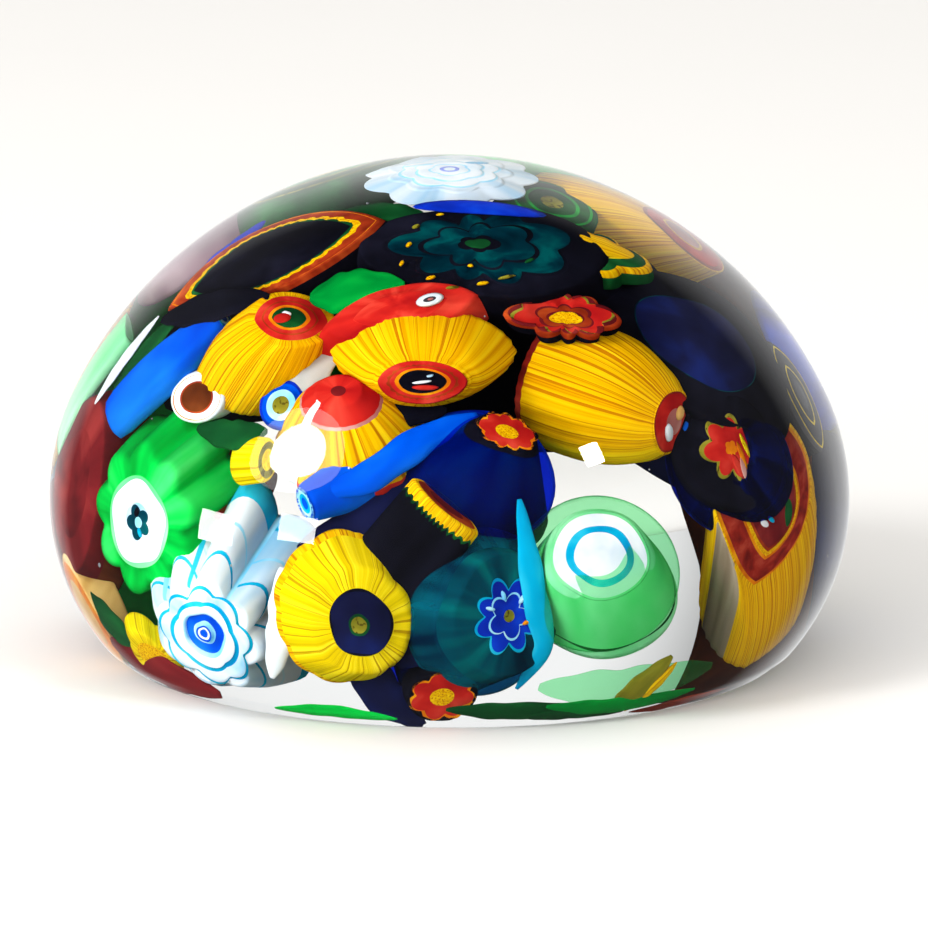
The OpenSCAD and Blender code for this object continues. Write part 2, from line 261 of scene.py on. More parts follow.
def bubble_glass():
    """Seed bubbles as pale specks, each a little different. The pale colour is a painted highlight: it
    stands in for the light that the air bubbles reflect.
    """
    material, nodes = start_material("seed_bubble")
    tone = nodes.noise(nodes.place(), (900, 900, 900), detail=1.0)
    # painted highlight: pale grey to white
    colour = nodes.ramp(tone, [(0.35, linear((120, 125, 135))), (0.65, linear((225, 230, 235)))])
    body = nodes.add("ShaderNodeBsdfPrincipled", Roughness=0.3)
    nodes.join(colour, body.inputs["Base Color"])
    see_through = nodes.add("ShaderNodeBsdfTransparent")
    nodes.finish(nodes.blend(0.6, see_through, body))
    return material


def floor_paper():
    """Matt pale sweep with a trace of unevenness."""
    material, nodes = start_material("floor_paper")
    tone = nodes.noise(nodes.place(), (6, 6, 6))
    colour, mottle = linear((225, 224, 222)), 0.01
    low = tuple(c * (1 - mottle) for c in colour)
    body = nodes.add("ShaderNodeBsdfPrincipled", Roughness=0.9)
    body.inputs["Specular IOR Level"].default_value = 0.1
    nodes.join(nodes.ramp(tone, [(0.3, low), (0.7, colour)]), body.inputs["Base Color"])
    nodes.finish(body)
    return material


# ---------------------------------------------------------------- meshes

def add_piece(name, points, faces, materials, slot, marks=None, grain=None, place=None):
    """A visible piece of the one body, from points and grain in millimetres.
    marks gives the material of each face, by its place among the materials."""
    mesh = bpy.data.meshes.new(name)
    mesh.from_pydata([tuple(point * MM) for point in points], [], faces)
    for material in materials:
        mesh.materials.append(material)
    for polygon in mesh.polygons:
        polygon.use_smooth = True
    if marks is not None:
        mesh.polygons.foreach_set("material_index", marks)
    if grain is not None:
        layer = mesh.attributes.new("grain", "FLOAT_VECTOR", "POINT")
        layer.data.foreach_set("vector", (np.asarray(grain, float) * MM).ravel())
    mesh.update()
    piece = bpy.data.objects.new(name, mesh)
    bpy.context.scene.collection.objects.link(piece)
    if place is not None:
        piece.matrix_world = place
    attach(piece, "root")
    return piece


def wave(kind, angle):
    """One ripple of an edge: -0.5 to 0.5 for every kind."""
    if kind == "petal":      # round outside, creased inside
        return np.abs(np.cos(angle / 2)) - 0.5
    if kind == "point":      # round inside, pointed outside
        return 0.5 - np.abs(np.cos(angle / 2))
    if kind == "saw":
        return np.abs((angle / (2 * math.pi)) % 1 - 0.5) * 2 - 0.5
    if kind == "smooth":
        return 0.5 * np.cos(angle)
    return 0 * angle


def outline(theta, squash, tip):
    """Radius round a pressed cane of half-length 1: an ellipse at tip 0, a pointed lens at tip 1."""
    oval = squash / np.sqrt((squash * np.cos(theta)) ** 2 + np.sin(theta) ** 2)
    gap, big = (1 - squash ** 2) / (2 * squash), (1 + squash ** 2) / (2 * squash)
    lens = -gap * np.abs(np.sin(theta)) + np.sqrt(big ** 2 - (gap * np.cos(theta)) ** 2)
    return oval + (lens - oval) * tip


def press_in(points, depth, place=None):
    """Points that come nearer the dome's skin than this depth are drawn back under it, softly."""
    turn = np.array(place.to_3x3()) if place else np.eye(3)
    shift = (np.array(place.to_translation()) / MM if place else np.zeros(3)) - (0, 0, HUB_Z)
    skin = [(math.atan2(r, z - HUB_Z), math.hypot(r, z - HUB_Z)) for r, z in dome_profile()]
    skin.append((math.pi, HUB_Z))
    world = np.asarray(points) @ turn.T + shift
    out = np.linalg.norm(world, axis=1)
    climb = np.arctan2(np.hypot(world[:, 0], world[:, 1]), world[:, 2])
    over = out - (np.interp(climb, *zip(*skin)) - depth - SOFT)
    kept = np.where(over > 0, out - over + SOFT * (1 - np.exp(-np.maximum(over, 0) / SOFT)), out)
    return ((world * (kept / np.maximum(out, 1e-6))[:, None]) - shift) @ turn


class Loops:
    """A closed skin laid as loops from the middle of the face, over the rim and down to the back."""

    def __init__(self, around, wobble, seed):
        self.theta = np.arange(around) * 2 * math.pi / around
        rnd = random.Random(seed)
        self.wobble = sum(
            wobble / k * np.cos(k * self.theta + rnd.uniform(0, 6.28)) for k in (1, 2, 3, 5))
        self.rows, self.grain, self.marks, self.paints = [], [], [], []

    def index(self, paint):
        """The paint's place among the paints of this piece."""
        if paint not in self.paints:
            self.paints.append(paint)
        return self.paints.index(paint)

    def lay(self, radius, z, paint, reach, run=None):
        """radius and z are numbers or one value for every point; paint colours the strip before it.
        The grain follows reach round the cane and run along it, or z."""
        radius = radius + 0 * self.theta
        z = z + 0 * self.theta
        along = z if run is None else run + 0 * z
        c, s = np.cos(self.theta), np.sin(self.theta)
        self.rows.append(np.stack([radius * c, radius * s, z], 1))
        self.grain.append(np.stack([reach * c, reach * s, along], 1))
        self.marks.append(self.index(paint))

    def drop_repeats(self):
        """Take out loops that lie on the one before, which would only add faces of no area."""
        moved = [0] + [i for i in range(1, len(self.rows))
                       if np.abs(self.rows[i] - self.rows[i - 1]).max() > SAME_LOOP]
        self.rows, self.grain, self.marks = (
            [values[i] for i in moved] for values in (self.rows, self.grain, self.marks))

    def mesh(self):
        """Points, faces, grain of each point, and the paint and the column of each face."""
        self.drop_repeats()
        n = len(self.theta)
        points = np.concatenate([*self.rows, [self.rows[0].mean(0)], [self.rows[-1].mean(0)]])
        grain = np.concatenate([*self.grain, [self.grain[0].mean(0)], [self.grain[-1].mean(0)]])
        head, tail = len(points) - 2, len(points) - 1
        base = (len(self.rows) - 1) * n
        faces = [(head, j, (j + 1) % n) for j in range(n)]
        marks = [self.marks[0]] * n
        for i in range(len(self.rows) - 1):
            here, after = i * n, (i + 1) * n
            faces += [(here + j, after + j, after + (j + 1) % n, here + (j + 1) % n) for j in range(n)]
            marks += [self.marks[i + 1]] * n
        faces += [(base + (j + 1) % n, base + j, tail) for j in range(n)]
        marks += [self.marks[-1]] * n
        columns = list(range(n)) * (len(self.rows) + 1)
        return points, faces, grain, marks, columns


def facing(look, twist):
    """Rotation that turns +z to a bearing and climb, and twists about it."""
    return (Matrix.Rotation(math.radians(look[0]), 3, "Z")
            @ Matrix.Rotation(math.radians(90 - look[1]), 3, "X")
            @ Matrix.Rotation(math.radians(twist), 3, "Z"))


def seat_of(node, look, twist, nudge):
    """The frame of a cane from its CAD node: origin at the middle of its face, z out of the face,
    x along its long axis, with its half-length, squash, back half-length and length."""
    turn = facing(look, twist)
    here = np.array([v.co for v in frame["nodes"][node].data.vertices]) @ np.array(turn)
    top, low = here[:, 2].max(), here[:, 2].min()
    flat = 0.05 * MM
    rim, back = here[here[:, 2] > top - flat], here[here[:, 2] < low + flat]
    middle = (rim.min(0) + rim.max(0)) / 2
    half, back_half = (rim.max(0) - rim.min(0)) / 2, (back.max(0) - back.min(0)) / 2
    origin = turn @ Vector(middle) + Vector(nudge) * MM
    place = Matrix.Translation(origin) @ turn.to_4x4()
    return place, half[0] / MM, half[1] / half[0], back_half[0] / MM, (top - low) / MM


# ---------------------------------------------------------------- one cane slice

class Cane:
    """The measures of one slice, in millimetres, and the shape of its outline."""

    def __init__(self, theta, wobble, r_face, r_back, length, squash, tip, dish, belly, flare, rim,
                 lobes, ribs):
        self.r_face, self.r_back, self.length = r_face, r_back, length
        self.squash, self.tip, self.dish, self.rim = squash, tip, dish, rim
        self.belly, self.flare = belly, flare
        self.ribs = ribs or (None, 1, 0.0)
        kind, count, depth = lobes or (None, 1, 0.0)
        self.shape = outline(theta, squash, tip)
        self.edge = 1 + depth * wave(kind, count * theta) + wobble


def lay_face(skin, cane, bands):
    """The bands of the face, from the middle to the rim. Gives the height that they end at."""
    share0, z0, wave0 = FACE_HOLE, cane.dish, np.ones_like(skin.theta)
    for band in bands:
        share, paint, kind, count, depth, lift = (*band, *(None, 1, 0.0, 0.0)[len(band) - 2:])
        last = share >= 0.999
        ripple = 1 + depth * wave(kind, count * skin.theta + share * 5) + skin.wobble * 1.5
        wave1 = cane.edge if last else ripple
        z1 = cane.dish * (1 - share ** 2) + lift
        end = share * (1 - cane.rim / cane.r_face) if last else share
        for step in FACE_STEPS:
            reach = share0 + (end - share0) * step
            # the outermost band's threads fan out from the middle
            fan = ((cane.r_face, cane.r_face * (1 - reach)) if last else (cane.r_face * reach, None))
            skin.lay(cane.r_face * reach * cane.shape * (wave0 + (wave1 - wave0) * step),
                     z0 + (z1 - z0) * min(1, step * 2), paint, *fan)
        share0, z0, wave0 = end, z1, wave1
    return z0


def lay_side(skin, cane, bands, top):
    """The rounded rim, then the bands of the side down to the back, with their rippled borders."""
    for angle in (30, 60, 90):
        c, s = math.cos(math.radians(angle)), math.sin(math.radians(angle))
        skin.lay((cane.r_face - cane.rim * (1 - s)) * cane.shape * cane.edge,
                 top - cane.rim * (1 - c), bands[0][1], cane.r_face)
    rib_kind, rib_count, rib_depth = cane.ribs
    share0, ripple0, shallowest, deepest = 0.0, 0 * skin.theta, 0.01, 0.97
    for band in bands:
        share1, paint, kind, count, depth = (*band, *(None, 1, 0.0)[len(band) - 2:])
        ripple1 = depth * wave(kind, count * skin.theta)
        steps = max(2, int(round((share1 - share0) * 14)))
        for i in range(1, steps + 1):
            u = i / steps
            share = share0 + (share1 - share0) * u
            at = np.clip(share + ripple0 + (ripple1 - ripple0) * u, shallowest, deepest)
            if share >= 1:
                at = deepest + 0 * skin.theta
            grow = (cane.r_face + (cane.r_back - cane.r_face) * at ** cane.flare
                    + cane.belly * np.sin(math.pi * at))
            rib = 1 + rib_depth * min(1, share * 3) * wave(rib_kind, rib_count * skin.theta)
            skin.lay(grow * cane.shape * cane.edge * rib,
                     top - cane.rim - (cane.length - 2 * cane.rim) * at, paint, cane.r_face)
        share0, ripple0 = share1, ripple1


def lay_back(skin, cane, bands, side_paint):
    """The rounded edge of the back and its bands, from the edge to the middle."""
    rib_kind, rib_count, rib_depth = cane.ribs
    rib = 1 + rib_depth * wave(rib_kind, rib_count * skin.theta)
    for angle in (45, 90):
        c, s = math.cos(math.radians(angle)), math.sin(math.radians(angle))
        skin.lay((cane.r_back - cane.rim * (1 - c)) * cane.shape * cane.edge * rib,
                 -cane.length + cane.rim * (1 - s), side_paint, cane.r_face)
    for share, paint in reversed(bands):
        inner = max([b[0] for b in bands if b[0] < share] + [FACE_HOLE])
        for step in (0.5, 1.0):
            reach = share + (inner - share) * step
            skin.lay(max(FACE_HOLE, reach) * (cane.r_back - cane.rim) * cane.shape * cane.edge,
                     -cane.length, paint, cane.r_back * reach)


def paint_stripes(skin, marks, columns, stripes, first_face):
    """Coloured stripes run the whole length of the side: middle and half-width are degrees."""
    for middle, half, paint in stripes:
        mark = skin.index(paint)
        for i in range(first_face, len(marks)):
            away = (math.degrees(skin.theta[columns[i]]) - middle + 180) % 360 - 180
            if abs(away) < half:
                marks[i] = mark


def add_flecks(skin, cane, flecks, top, points, grain, faces, marks):
    """Flecks are small lens-shaped drops let into the face, each a hair above the one before. Most are the
    glass's own colour; a few are painted glints or painted shadow.
    """
    sides, step_up, depth = 20, 0.04, 0.15
    low, high, crest = 0.1, 0.18, 0.2
    for x, y, long_r, short_r, angle, paint in flecks:
        base, mark = len(points), skin.index(paint)
        top += step_up
        ca, sa = math.cos(math.radians(angle)), math.sin(math.radians(angle))
        for share, z in ((1.0, top - depth), (0.8, top + low), (0.4, top + high)):
            for j in range(sides):
                u = j * 2 * math.pi / sides
                px, py = long_r * share * math.cos(u), short_r * share * math.sin(u)
                points.append(np.array([x * cane.r_face + px * ca - py * sa,
                                        y * cane.r_face + px * sa + py * ca, z + cane.dish]))
                grain.append(points[-1])
        for z in (top + crest, top - depth):
            points.append(np.array([x * cane.r_face, y * cane.r_face, z + cane.dish]))
            grain.append(points[-1])
        for j in range(sides):
            k = (j + 1) % sides
            for row in (base, base + sides):
                faces.append((row + j, row + k, row + sides + k, row + sides + j))
            faces.append((base + 2 * sides + j, base + 2 * sides + k, base + 3 * sides))
            faces.append((base + k, base + j, base + 3 * sides + 1))
            marks += [mark] * 4


def slice_of(node, look, twist=0, nudge=(0, 0, 0), face=(), side=(), back=(), lobes=None, ribs=None,
             tip=0.5, dish=0.0, belly=0.0, flare=1.0, wobble=0.02, rim=0.35, flecks=(), stripes=(),
             veil=None, around=96, wide=1.0, long=1.0, spread=1.0, press=None, aim=None, twist_to=None):
    """One cane slice. face: bands (outer share, paint, ripple kind, count, depth, lift) from the middle
    out. side: bands (end share, paint, ripple kind, count, depth) from the face to the back; left out,
    it is one band in the face's outermost paint. back: bands (outer share, paint).
    flecks: x and y as shares of the face, long and short radius, angle and paint.
    wide, long and spread let the drawn-out glass run past the CAD slice, sideways, inwards and at
    the back; press flattens it; aim turns its face to another bearing and climb, twist_to its long axis."""
    place, r_face, squash, r_back, length = seat_of(node, look, twist, nudge)
    if aim:
        turn = facing(aim, twist if twist_to is None else twist_to)
        place = Matrix.Translation(place.to_translation()) @ turn.to_4x4()
    skin = Loops(around, wobble, seed=sum(ord(c) * (i + 3) for i, c in enumerate(node)))
    cane = Cane(skin.theta, skin.wobble, r_face * wide, r_back * wide * spread, length * long,
                press or squash, tip, dish, belly, flare, rim, lobes, ribs)
    side = side or [(1, face[-1][1])]
    top = lay_face(skin, cane, face)
    lay_side(skin, cane, side, top)
    lay_back(skin, cane, back or [(1.0, side[-1][1])], side[-1][1])
    points, faces, grain, marks, columns = skin.mesh()
    paint_stripes(skin, marks, columns, stripes, (len(FACE_STEPS) * len(face) + 1) * around)
    points, grain = list(points), list(grain)
    add_flecks(skin, cane, flecks, top, points, grain, faces, marks)
    piece = add_piece(f"{node}_cane", press_in(points, CANE_DEPTH, place), faces,
                      [MATERIALS[paint] for paint in skin.paints], SLOTS[node], marks, grain, place)
    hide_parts(node)
    if veil:
        casing(node, place, cane, *veil)


def casing(node, place, cane, paint, grow, lift):
    """A veil of tinted clear glass round a cane, open to sight: it bulges over the face and the back."""
    skin = Loops(72, 0.02, len(node))
    shape = outline(skin.theta, cane.squash ** 0.5, cane.tip * 0.4)
    steps = 18
    for i in range(1, steps):
        u = i / steps
        swell = math.sin(math.pi * u) ** 0.45
        radius = (cane.r_face + (cane.r_back - cane.r_face) * u + grow) * swell
        skin.lay(radius * shape, lift - (cane.length + lift + grow * 0.6) * u, paint, cane.r_face)
    points, faces, grain, marks, _ = skin.mesh()
    add_piece(f"{node}_veil", press_in(points, VEIL_DEPTH, place), faces, [MATERIALS[paint]], SLOTS[node],
              marks, grain, place)


def trail(name, slot, paint, path, width, thick=0.5, node=None):
    """A drawn-out streak of glass, pointed at both ends, along the few points of its path.
    It stands for a CAD node if one is named."""
    steps, smoothings = 40, 6
    knots = np.array(path, float)
    t = np.linspace(0, len(knots) - 1, steps + 1)
    line = np.stack([np.interp(t, range(len(knots)), knots[:, i]) for i in range(3)], 1)
    for _ in range(smoothings):
        line[1:-1] = (line[:-2] + 2 * line[1:-1] + line[2:]) / 4
    skin = Loops(24, 0.0, 1)
    c, s = np.cos(skin.theta)[:, None], np.sin(skin.theta)[:, None]
    ahead = np.gradient(line, axis=0)
    for i in range(1, steps):
        outward = line[i] - (0, 0, HUB_Z)
        across = np.cross(ahead[i], outward)
        across /= np.linalg.norm(across)
        outward = np.cross(across, ahead[i])
        outward /= np.linalg.norm(outward)
        swell = math.sin(math.pi * i / steps) ** 0.7
        reach = width * swell * (1 + 0.06 * math.sin(i * 0.6))
        skin.rows.append(line[i] + across * reach * c + outward * thick * swell * s)
        skin.grain.append(np.concatenate([width * c, thick * s, 0 * c + i * 0.6], 1))
        skin.marks.append(skin.index(paint))
    points, faces, grain, marks, _ = skin.mesh()
    piece = add_piece(name, press_in(points, STREAK_DEPTH), faces, [MATERIALS[paint]], slot, marks, grain)
    if node:
        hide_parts(node)


# ---------------------------------------------------------------- the clear dome

def arc(centre, radius, start, end, steps):
    """Points of an arc, angles from straight up, in degrees."""
    for i in range(steps + 1):
        a = math.radians(start + (end - start) * i / steps)
        yield centre[0] + radius * math.sin(a), centre[1] + radius * math.cos(a)


def dome_profile():
    """Radius and height down the dome's skin: crown, shoulder, flank, bevel and the flat base."""
    half = DOME_WIDTH / 2
    shoulder = (half - SHOULDER_R, BELLY_Z)
    rise = DOME_HEIGHT - BELLY_Z
    crown_r = (shoulder[0] ** 2 + rise ** 2 - SHOULDER_R ** 2) / (2 * (rise - SHOULDER_R))
    joint = math.degrees(math.atan2(shoulder[0], BELLY_Z - (DOME_HEIGHT - crown_r)))
    foot = half - FLANK_R + math.sqrt(FLANK_R ** 2 - BELLY_Z ** 2)
    low = math.degrees(math.acos(-(BELLY_Z - 2 * BASE_BEVEL) / FLANK_R))
    points = list(arc((0, DOME_HEIGHT - crown_r), crown_r, 0.4, joint, 40))
    points += list(arc(shoulder, SHOULDER_R, joint, 90, 14))[1:]
    points += list(arc((half - FLANK_R, BELLY_Z), FLANK_R, 90, low, 16))[1:]
    points += [(foot - BASE_BEVEL * 0.2, BASE_BEVEL * 0.7), (foot - BASE_BEVEL * 0.5, BASE_BEVEL * 0.25),
               (foot - BASE_BEVEL, 0.02), (foot - BASE_BEVEL * 1.5, 0.0),
               (foot * 0.8, 0.0), (foot * 0.3, 0.0)]
    return points


def make_dome():
    skin = Loops(160, 0.0, 1)
    for radius, z in dome_profile():
        skin.lay(radius, z, "crystal", radius)
    points, faces, *_ = skin.mesh()
    dome = add_piece("crystal_dome", points, faces, [crystal()], "crystal")
    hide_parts("clear_dome")


def finer(points, faces):
    """Each triangle of a ball split in four, with its new corners pushed out to the ball."""
    split = []
    for a, b, c in faces:
        k = len(points)
        points += [(points[i] + points[j]).normalized() for i, j in ((a, b), (b, c), (c, a))]
        split += [(a, k, k + 2), (b, k + 1, k), (c, k + 2, k + 1), (k, k + 1, k + 2)]
    return split


def make_bubbles(count=110):
    """Tiny seed bubbles trapped between the skin and the canes."""
    rnd = random.Random(7)
    corners = [(0, 0, 1), (0, 0, -1), (1, 0, 0), (-1, 0, 0), (0, 1, 0), (0, -1, 0)]
    sides = [(0, 2, 4), (0, 4, 3), (0, 3, 5), (0, 5, 2), (1, 4, 2), (1, 3, 4), (1, 5, 3), (1, 2, 5)]
    low = 12
    points, faces = [], []
    for _ in range(count):
        bearing, climb = rnd.uniform(0, 2 * math.pi), math.asin(rnd.uniform(-0.1, 0.97))
        depth = rnd.uniform(0.78, 0.93)
        at = Vector((math.sin(bearing) * math.cos(climb) * DOME_WIDTH / 2 * depth,
                     -math.cos(bearing) * math.cos(climb) * DOME_WIDTH / 2 * depth,
                     low + math.sin(climb) * (DOME_HEIGHT - low) * depth))
        size = rnd.choice((0.08, 0.1, 0.12, 0.16, 0.2))
        ball = [Vector(p) for p in corners]
        shapes = finer(ball, sides)
        shapes = finer(ball, shapes)
        base = len(points)
        points += [at + p * size for p in ball]
        faces += [tuple(base + i for i in f) for f in shapes]
    add_piece("seed_bubbles", points, faces, [bubble_glass()], "crystal")


# ---------------------------------------------------------------- the canes

def front_canes():
    """The slices that the photograph shows or implies, from the crown down to the foot."""
    slice_of("top_rose", (0, 87), 0, (0.5, 1, 0.8), lobes=("petal", 9, 0.16), tip=0, dish=0.6, wobble=0.04,
        long=0.5,
        face=[(0.1, "white"), (0.17, "periwinkle"), (0.3, "white", "petal", 5, 0.2),
            (0.34, "ice", "petal", 5, 0.2), (0.56, "white", "petal", 6, 0.14, 0.3),
            (0.6, "ice", "petal", 6, 0.14), (0.8, "white", "petal", 8, 0.14, 0.2),
            (0.84, "ice", "petal", 8, 0.14), (1, "snow")],
        flecks=[(0.45, 0.5, 1.3, 0.6, 20, "turquoise"), (-0.5, 0.3, 1.6, 0.4, 10, "ice")])
    slice_of("teal_crown", (-5, 61), 5, (-1, 0, 0.7), tip=0.1, wobble=0.1, dish=0.5, wide=1.45, long=2,
        face=[(0.1, "forest"), (0.16, "black", "petal", 5, 0.3), (0.4, "deep_teal", "petal", 7, 0.35),
            (0.44, "black", "petal", 7, 0.35), (0.66, "deep_teal", "petal", 9, 0.3),
            (0.7, "black", "petal", 9, 0.3), (1, "black")],
        flecks=[(-0.38, -0.42, 0.5, 0.22, 20, "gold"), (-0.2, -0.55, 0.7, 0.2, 5, "olive"),
            (0.05, -0.5, 0.6, 0.22, 15, "gold"), (0.25, -0.42, 0.9, 0.2, 20, "olive"),
            (-0.56, 0.0, 0.4, 0.25, 60, "gold"), (-0.5, 0.24, 0.45, 0.3, 40, "olive"),
            (-0.3, 0.4, 0.4, 0.22, 10, "gold"), (-0.62, -0.24, 0.4, 0.2, 70, "gold"),
            (0.45, -0.2, 0.6, 0.2, 40, "forest"), (-0.05, -0.3, 0.3, 0.2, 0, "gold"),
            (0.05, 0.52, 6.6, 1.3, -2, "cobalt")])
    slice_of("dark_eye", (-52, 54), 48, (-0.5, -1.5, 0), tip=0.9, dish=0.4, wide=1.08, long=2.4, press=0.5,
        spread=1.4,
        face=[(0.5, "black"), (0.74, "black"), (0.77, "forest", "petal", 30, 0.05),
            (0.83, "gold", "petal", 30, 0.06), (0.96, "rust"), (1, "honey")],
        side=[(0.05, "rust"), (1, "black")])
    slice_of("gold_eye", (38, 45), -30, (0.6, -2.5, 2.2), tip=0.8, dish=0.3, ribs=("smooth", 26, 0.03),
        belly=0.6, wide=1.12, aim=(34, 60),
        face=[(0.36, "forest"), (0.44, "honey"), (0.56, "red"), (0.6, "rust"), (0.78, "red"), (1, "gold")],
        # the small white fleck on the dark core is a painted glint; the red fleck is the core's own colour
        flecks=[(-0.14, -0.02, 1.1, 0.7, 15, "red"), (-0.04, 0.1, 0.55, 0.2, -20, "white")])
    slice_of("cobalt_petal", (76, 45), 90, (3.4, -6.4, 2.8), tip=0, belly=0.5, rim=1.2, wobble=0.05,
        wide=1.02, long=1.28, face=[(0.3, "azure"), (0.55, "ice"), (0.75, "turquoise"), (1, "azure")],
        back=[(0.35, "turquoise"), (0.8, "ice"), (1, "azure")])
    slice_of("mint_limb", (-60, -27), 40, (1, -2.5, 5), tip=0.3, wobble=0.05, wide=0.7, long=1.5,
        aim=(80, 50), face=[(0.8, "mint"), (1, "emerald")], side=[(1, "mint")])
    slice_of("red_bolster", (62, 32), -45, (-4.2, -5.6, 4.8), tip=0.6, rim=0.8, dish=0.9, wobble=0.03,
        aim=(-8, 42), spread=0.9, twist_to=18, wide=2.3, press=0.4, long=0.45,
        face=[(0.6, "red"), (1, "red")],
        flecks=[(0.42, 0.02, 1.35, 0.75, 5, "white"), (0.42, 0.02, 0.95, 0.5, 5, "slate"),
            (0.43, 0.02, 0.5, 0.25, 5, "rose")])
    slice_of("gold_bell", (-1, -4), 0, (1, -1.5, 0), tip=0.35, flare=0.6, ribs=("smooth", 44, 0.02),
        rim=0.5, wobble=0.03, dish=0.1,
        face=[(0.48, "black"), (0.56, "honey"), (0.66, "red"), (0.72, "rust", "saw", 26, 0.1),
            (0.9, "red"), (1, "rust")], side=[(0.08, "gold"), (1, "gold")],
        # the white and snow flecks on the black core are painted glints; the red fleck is the core's own
        # colour
        flecks=[(-0.02, -0.02, 1.0, 0.16, 8, "white"), (0.05, -0.15, 1.3, 0.28, 0, "red"),
            (0.14, 0.14, 0.35, 0.1, 15, "snow")])
    slice_of("ember_rose", (6, 56), 0, (0.5, -0.5, 0), lobes=("petal", 8, 0.3), tip=0.1, wobble=0.06,
        dish=-0.9,
        face=[(0.3, "gold", "petal", 5, 0.2), (0.36, "wine"), (0.5, "rust", "petal", 6, 0.3),
            (0.56, "wine", "petal", 6, 0.3), (0.88, "red", "petal", 8, 0.3),
            (0.93, "olive", "petal", 8, 0.3), (1, "wine")], side=[(0.4, "rust"), (1, "black")])
    slice_of("amber_shell", (62, -6), 55, (-0.5, -3, -0.5), tip=0.3, flare=0.6, belly=1.0,
        ribs=("smooth", 30, 0.03), dish=0.4, wide=0.92, spread=1.12,
        face=[(0.4, "rose"), (0.84, "red"), (0.9, "brick"), (1, "gold")],
        side=[(0.97, "gold"), (1, "brick")],
        flecks=[(-0.35, 0.1, 1.0, 0.6, 40, "white"), (0.3, -0.1, 0.8, 0.6, 0, "ochre"),
            # the large black fleck low on the face is painted shadow
            (0.2, -0.6, 1.3, 0.5, 20, "black"), (0.05, -0.5, 0.6, 0.25, 0, "azure")])
    slice_of("midnight", (39, 58), -50, (-0.5, -5, 0), tip=0.3, wobble=0.04, dish=1.0, wide=1.3, long=2.2,
        face=[(0.6, "navy"), (0.61, "deep_teal"), (1, "black")], side=[(0.5, "black"), (1, "navy")])
    slice_of("gold_ridge", (80, 4), -60, (0.4, -3.4, 2.6), tip=0.4, flare=0.8, ribs=("smooth", 26, 0.02),
        aim=(86, 22), wide=1.25, long=1.3, spread=1.1,
        face=[(0.4, "rose"), (0.47, "gold"), (0.85, "red"), (1, "rust")], side=[(1, "gold")])
    slice_of("leaf_star", (9, 82), -5, (-2.2, -3, 1.2), lobes=("petal", 7, 0.25), tip=0.1, wide=1.6,
        face=[(0.5, "gold"), (0.64, "lemon", "point", 7, 0.4), (1, "forest")],
        side=[(0.4, "gold"), (1, "forest")])
    slice_of("smoke_loop", (80, 61), 90, (1.2, -4.6, 2), tip=0.6, dish=0.5, aim=(66, 22), press=0.5,
        long=1.4, wide=1.15,
        face=[(0.3, "slate"), (0.52, "black"), (0.57, "lemon"), (0.92, "black"), (0.96, "lemon"),
            (1, "black")], side=[(0.1, "slate"), (1, "black")])
    slice_of("flame_button", (17, 34), 0, (1.5, -3.6, 3.2), tip=0.1, wobble=0.04, dish=0.8, rim=1.0,
        long=2.2, veil=("navy_veil", 0.6, 0.4),
        face=[(0.12, "honey", "petal", 5, 0.3), (0.44, "red", "petal", 7, 0.4),
            (0.5, "olive", "petal", 7, 0.4), (1, "black")], side=[(0.3, "black"), (1, "navy")],
        flecks=[(0.2, -0.1, 1.6, 0.35, -70, "honey"), (0.3, 0.05, 1.4, 0.3, -65, "lemon"),
            (0.1, -0.26, 1.5, 0.5, -60, "red"), (0.22, -0.3, 1.3, 0.4, -75, "rose")])
    slice_of("chevron", (23, 53), 50, (3, -3.2, 5.3), tip=1.0, flare=0.8, ribs=("smooth", 30, 0.03),
        dish=-0.6, aim=(32, 50), twist_to=82, wide=1.75, press=0.62, long=1.25, spread=0.8,
        face=[(0.46, "wine"), (0.5, "rust"), (0.56, "gold"), (0.6, "honey"), (0.9, "brick"),
            (0.95, "honey"), (1, "gold")], stripes=[(128, 22, "taupe")],
        flecks=[(-0.2, 0.12, 0.8, 0.5, 60, "white"), (-0.16, 0.04, 0.7, 0.3, 60, "turquoise"),
            (-0.1, -0.2, 2.0, 0.8, 10, "forest")])
    slice_of("jade_cup", (6, 36), -20, (-1.7, -3.5, 0.6), tip=0.1, dish=0.3, wobble=0.05, rim=0.8,
        veil=("green_veil", 1.3, 0.6),
        face=[(0.48, "white"), (0.62, "turquoise", "smooth", 3, 0.05), (0.86, "white"), (0.92, "mint"),
            (1, "mint")], side=[(0.82, "mint"), (0.86, "forest", "smooth", 5, 0.04), (1, "mint")])
    slice_of("poppy_night", (38, 50), -30, (-2.3, -1.2, -1), tip=0.2, wobble=0.03, long=1.7,
        veil=("cobalt_veil", 1.4, 0.3),
        face=[(0.36, "gold"), (0.82, "red", "petal", 9, 0.22), (0.92, "honey", "petal", 9, 0.22),
            (1, "black")])
    slice_of("azure_rod", (-68, -20), -35, (0.4, -3.6, 2.2), tip=0, belly=0.6, rim=0.7, aim=(-66, -16),
        long=1.7, face=[(0.3, "azure"), (0.5, "turquoise"), (0.85, "ice"), (1, "azure")],
        side=[(0.8, "azure"), (1, "cobalt")])
    slice_of("saffron_slice", (-56, 51), -10, (1, -0.6, 1.4), tip=0.3, ribs=("smooth", 24, 0.03),
        flare=0.7, aim=(-34, 62), wide=0.75, spread=2.1, long=1.45, face=[(0.3, "wine"), (1, "red")],
        side=[(0.16, "red"), (0.2, "rose"), (0.95, "gold"), (1, "red")], stripes=[(-120, 8, "white")])
    slice_of("bead_eye", (-28, 19), 5, (-1, -2, 1.6), tip=0, dish=0.5, wide=0.9,
        face=[(0.36, "olive"), (0.62, "ice"), (1, "azure")], side=[(0.5, "cobalt"), (1, "azure")])
